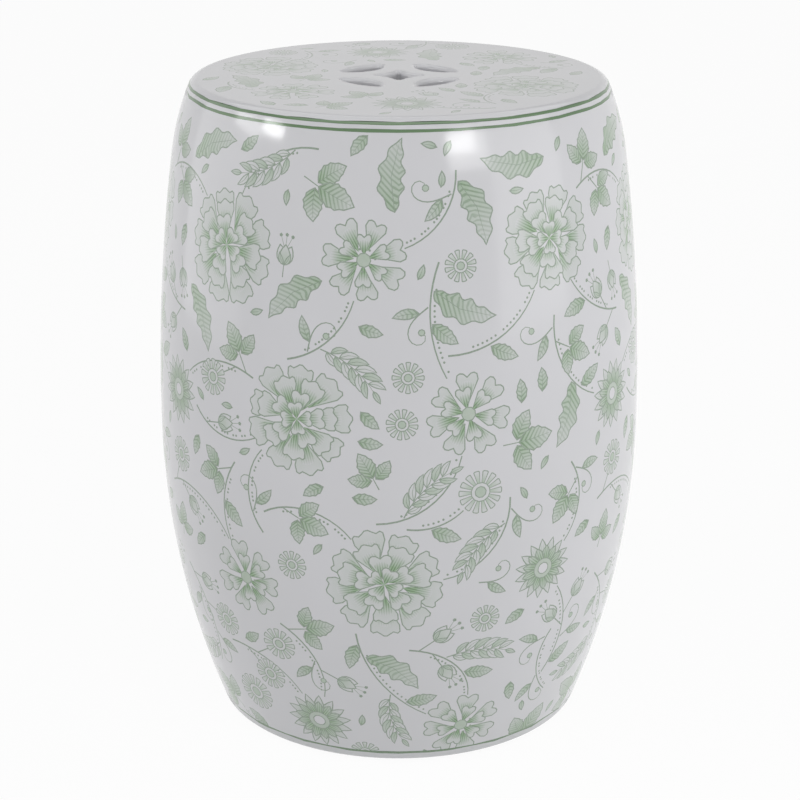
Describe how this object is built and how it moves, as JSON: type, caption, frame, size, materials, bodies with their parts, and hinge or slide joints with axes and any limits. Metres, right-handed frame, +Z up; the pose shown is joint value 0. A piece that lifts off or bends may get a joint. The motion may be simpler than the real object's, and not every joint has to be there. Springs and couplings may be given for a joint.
{
  "type": "garden stool",
  "caption": "Barrel-shaped glazed ceramic garden stool: hollow bellied wall open at the foot, flat rounded seat pierced with a coin motif for lifting, soft pads under the foot.",
  "frame": {"origin": "on the floor, under the centre of the foot", "axes": "+Z up along the barrel's axis; +X and +Y through the middles of two neighbouring finger slots"},
  "size_m": [0.337, 0.3368, 0.4525],
  "materials": {
    "barrel_glaze": "white glossy glaze over a green underglaze flower print, bare biscuit under the foot",
    "seat_glaze": "white glossy glaze over a green underglaze flower print, two painted lines round the edge",
    "foot_pad": "matt black rubber"
  },
  "bodies": {
    "root": {"barrel_wall": "barrel_glaze", "seat_slab": "seat_glaze", "foot_pad_1": "foot_pad", "foot_pad_2": "foot_pad", "foot_pad_3": "foot_pad", "foot_pad_4": "foot_pad"}
  },
  "joints": []
}
